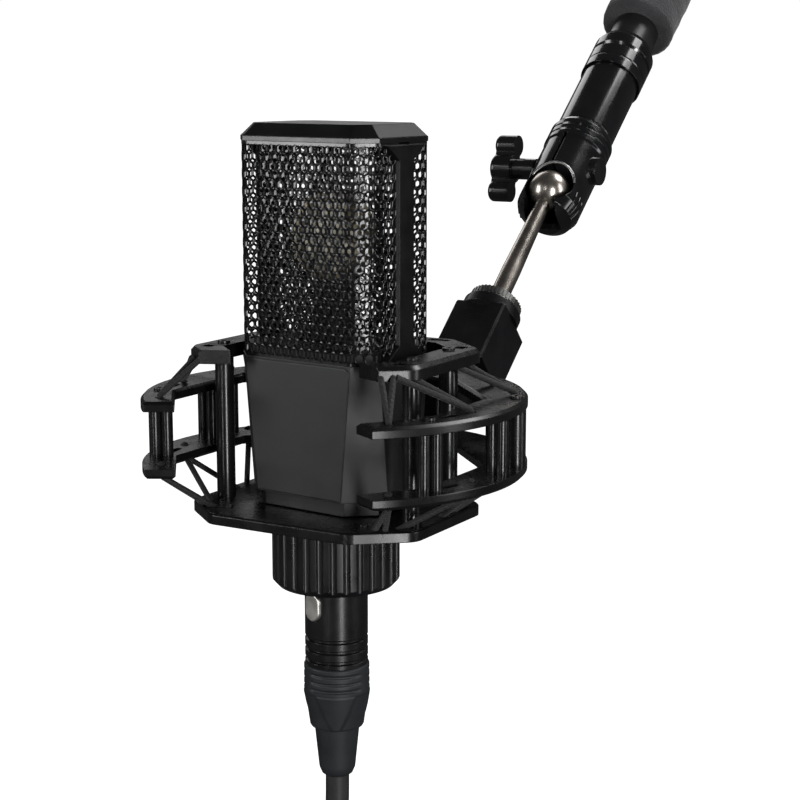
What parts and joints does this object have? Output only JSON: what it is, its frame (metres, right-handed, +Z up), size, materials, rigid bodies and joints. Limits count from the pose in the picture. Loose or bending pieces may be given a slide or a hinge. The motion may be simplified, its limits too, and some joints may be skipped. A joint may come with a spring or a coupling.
{
  "type": "studio microphone in shock mount",
  "caption": "Slab-bodied studio microphone with a perforated grille in an elastic cradle, on a tilting ball head with a threaded socket, with its cable.",
  "frame": {"origin": "centre of the mouth of the arm's threaded socket, which holds the part up", "axes": "+Z up, -Y the way the microphone's mount faces, +Y back towards the boom arm, +X to the right seen from the front"},
  "size_m": [0.1258, 0.3261, 0.5135],
  "materials": {
    "bright_steel": "machined",
    "black_tube": "satin",
    "foam": "open-cell foam",
    "gloss_black": "gloss",
    "satin_nickel": "satin",
    "knurled_steel": "knurled",
    "black_anodised": "satin",
    "black_plate": "powder coat",
    "black_post": "semi gloss",
    "black_screw": "gloss",
    "braided_elastic": "braided",
    "black_enamel": "satin",
    "bright_rim": "gloss",
    "perforated_steel": "gloss",
    "black_plastic": "matte",
    "brass": "satin",
    "gold_film": "thin film",
    "black_rubber": "matte",
    "grey_panel": "matte",
    "board": "solder mask",
    "board_parts": "mixed",
    "gold_contact": "plated",
    "black_plug": "satin",
    "boot_rubber": "matte",
    "nickel": "plated",
    "cable_jacket": "matte",
    "hook_and_loop": "napped"
  },
  "bodies": {
    "arm": {"arm_socket": "bright_steel", "neck_tube": "black_tube", "foam_grip": "foam"},
    "lock_collar": {"knurled_collar": "gloss_black"},
    "head": {"socket_head": "gloss_black", "swivel_barrel": "gloss_black"},
    "screw": {"wing_screw": "gloss_black"},
    "stem": {"ball_stem": "satin_nickel"},
    "nut": {"jam_nut": "knurled_steel"},
    "adapter": {"adapter_bush": "black_anodised", "adapter_block": "black_anodised"},
    "ring": {"ring_upper_plate": "black_plate", "ring_lower_plate": "black_plate", "ring_twin_posts": "black_post", "ring_rear_posts": "black_post", "hub_bracket": "black_plate", "hinge_pin": "black_screw", "ring_screws": "black_screw", "elastic_upper_left": "braided_elastic", "elastic_upper_right": "braided_elastic", "elastic_lower_left": "braided_elastic", "elastic_lower_right": "braided_elastic"},
    "cradle": {"cradle_top_plate": "black_plate", "cradle_bottom_plate": "black_plate", "cradle_posts": "black_post", "cradle_screws": "black_screw"},
    "microphone": {"head_cap": "black_enamel", "cap_rim": "bright_rim", "right_spine": "black_enamel", "left_spine": "black_enamel", "front_grille": "perforated_steel", "rear_grille": "perforated_steel", "platform": "black_plastic", "capsule_backplate": "brass", "diaphragms": "gold_film", "clamp_rings": "brass", "capsule_saddle": "black_plastic", "isolation_mount": "black_rubber", "body_shell": "grey_panel", "base_ring": "black_enamel", "threaded_stub": "black_enamel", "circuit_board": "board", "board_parts": "board_parts", "output_insert": "black_plastic", "output_pins": "gold_contact"},
    "retainer": {"retaining_ring": "black_anodised"},
    "plug": {"plug_shell": "black_plug", "plug_insert": "black_plastic", "plug_bushing": "boot_rubber", "cable": "cable_jacket", "cable_coil": "cable_jacket", "coil_tie": "hook_and_loop", "cable_tail": "cable_jacket", "far_plug_bushing": "boot_rubber", "far_plug_shell": "black_plug", "far_plug_core": "black_plastic"},
    "latch": {"plug_latch": "nickel"}
  },
  "joints": [
    {"name": "head_swivel", "type": "hinge", "parent": "arm", "child": "head", "pos_m": [0, -0.12508, -0.10607], "axis": [0, 0.7627, 0.6468], "continuous": true},
    {"name": "collar_turn", "type": "hinge", "parent": "head", "child": "lock_collar", "pos_m": [0, -0.06788, -0.05756], "axis": [0, 0.7627, 0.6468], "continuous": true},
    {"name": "clamp_screw_turn", "type": "hinge", "parent": "head", "child": "screw", "pos_m": [0, -0.11288, -0.09573], "axis": [-1, 0, 0], "range_deg": [0, 360]},
    {"name": "ball_tilt", "type": "hinge", "parent": "head", "child": "stem", "pos_m": [0, -0.12818, -0.10241], "axis": [1, 0, 0], "range_deg": [-80, 15]},
    {"name": "jam_nut_turn", "type": "hinge", "parent": "stem", "child": "nut", "pos_m": [0, -0.17074, -0.14033], "axis": [0, 0.7466, 0.6652], "continuous": true},
    {"name": "adapter_spin", "type": "hinge", "parent": "stem", "child": "adapter", "pos_m": [0, -0.17895, -0.14765], "axis": [0, 0.7466, 0.6652], "continuous": true},
    {"name": "adapter_hinge", "type": "hinge", "parent": "adapter", "child": "ring", "pos_m": [0, -0.20135, -0.16761], "axis": [1, 0, 0], "range_deg": [-45, 40]},
    {"name": "suspension", "type": "slide", "parent": "ring", "child": "cradle", "axis": [0, 0, 1], "range_m": [-0.004, 0.004], "stiffness_N_per_m": 2500, "springref_m": 0.00296, "deforming": ["elastic_upper_left", "elastic_upper_right", "elastic_lower_left", "elastic_lower_right"]},
    {"name": "microphone_turn", "type": "hinge", "parent": "cradle", "child": "microphone", "pos_m": [0, -0.27535, -0.1906], "axis": [0, 0, 1], "range_deg": [-9, 20]},
    {"name": "retaining_ring_turn", "type": "hinge", "parent": "microphone", "child": "retainer", "pos_m": [0, -0.27535, -0.20361], "axis": [0, 0, 1], "continuous": true},
    {"name": "plug_pull", "type": "slide", "parent": "microphone", "child": "plug", "axis": [0, 0, -1], "range_m": [0, 0.018]},
    {"name": "latch_press", "type": "slide", "parent": "plug", "child": "latch", "axis": [0.2419, 0.9703, 0], "range_m": [0, 0.0009], "stiffness_N_per_m": 1500}
  ]
}
